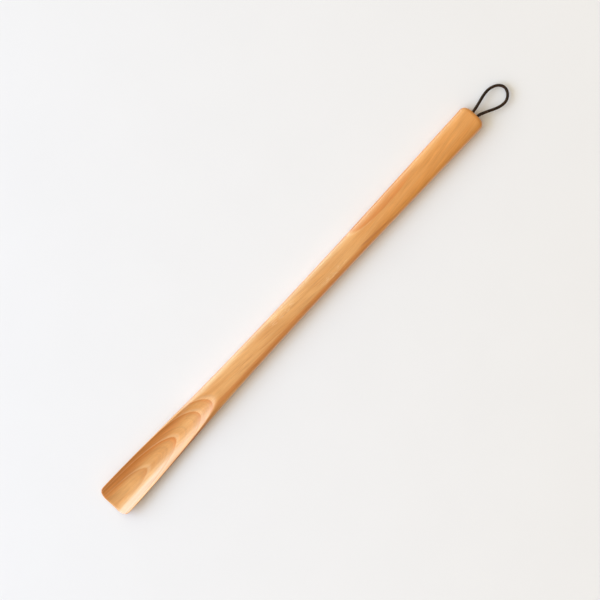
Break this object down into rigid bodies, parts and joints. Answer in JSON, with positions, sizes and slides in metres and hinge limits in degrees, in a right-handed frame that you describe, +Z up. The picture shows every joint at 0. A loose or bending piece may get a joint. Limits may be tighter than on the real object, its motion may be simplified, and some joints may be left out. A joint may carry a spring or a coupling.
{
  "type": "long shoehorn",
  "caption": "Long one-piece wooden shoehorn with a round-ended scooped blade, an oval shaft, a flatter grip and a leather hanging loop.",
  "frame": {"origin": "centre of the shoehorn's footprint, loop included, on the plane that it rests on with the scoop up", "axes": "+X from the blade's tip to the butt and its loop, +Z up out of the scoop, +Y to the left of someone looking along +X"},
  "size_m": [0.6474, 0.0412, 0.0165],
  "materials": {
    "wood": "sanded hardwood with a thin satin oil",
    "cord_leather": "dark brown round leather cord, slightly waxed",
    "glue": "set wood glue, amber"
  },
  "bodies": {
    "handle": {"carved_body": "wood", "cord_tails": "cord_leather", "cord_glue": "glue"},
    "loop_root": {"cord_root": "cord_leather"},
    "loop_neck": {"cord_neck": "cord_leather"},
    "loop_bow": {"cord_bow": "cord_leather"}
  },
  "joints": [
    {"name": "cord_sway", "type": "hinge", "parent": "handle", "child": "loop_root", "pos_m": [0.28045, 0, 0.00825], "axis": [0, 0, 1], "range_deg": [-18, 18], "stiffness_Nm_per_rad": 0.005},
    {"name": "cord_flop", "type": "hinge", "parent": "loop_root", "child": "loop_neck", "pos_m": [0.28735, 0, 0.00825], "axis": [0, 1, 0], "range_deg": [-90, 84], "stiffness_Nm_per_rad": 0.005},
    {"name": "cord_curl", "type": "hinge", "parent": "loop_neck", "child": "loop_bow", "pos_m": [0.29729, 0, 0.0072], "axis": [0, 1, 0], "range_deg": [-60, 60], "stiffness_Nm_per_rad": 0.005}
  ]
}
